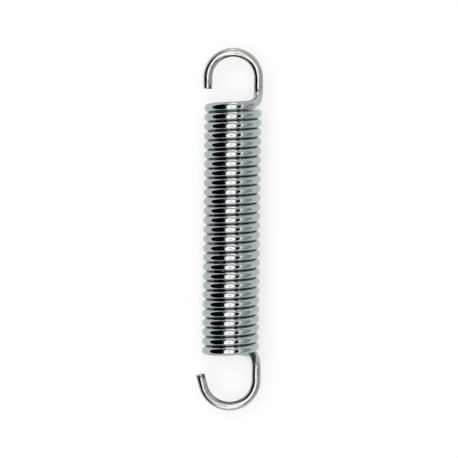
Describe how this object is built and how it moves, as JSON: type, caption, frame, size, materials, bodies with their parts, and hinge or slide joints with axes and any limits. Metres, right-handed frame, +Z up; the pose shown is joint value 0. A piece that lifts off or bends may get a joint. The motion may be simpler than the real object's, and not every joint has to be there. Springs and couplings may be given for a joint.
{
  "type": "extension spring",
  "caption": "Close-wound round-wire extension spring in bright zinc-plated steel, with an open hook bent at each end, lying on its side.",
  "frame": {"origin": "middle of the spring's underside as it lies on its side: half of its overall width and length, at the surface it lies on", "axes": "+Y along the coil's axis, towards the upper hook; +X towards the side where both hooks leave the coil; +Z up from the surface, square to the plane of the two hooks"},
  "size_m": [0.0284, 0.158, 0.025],
  "materials": {
    "spring_wire": "bright zinc plating on drawn spring wire, fine lengthwise drawing marks"
  },
  "bodies": {
    "root": {"spring": "spring_wire"}
  },
  "joints": []
}
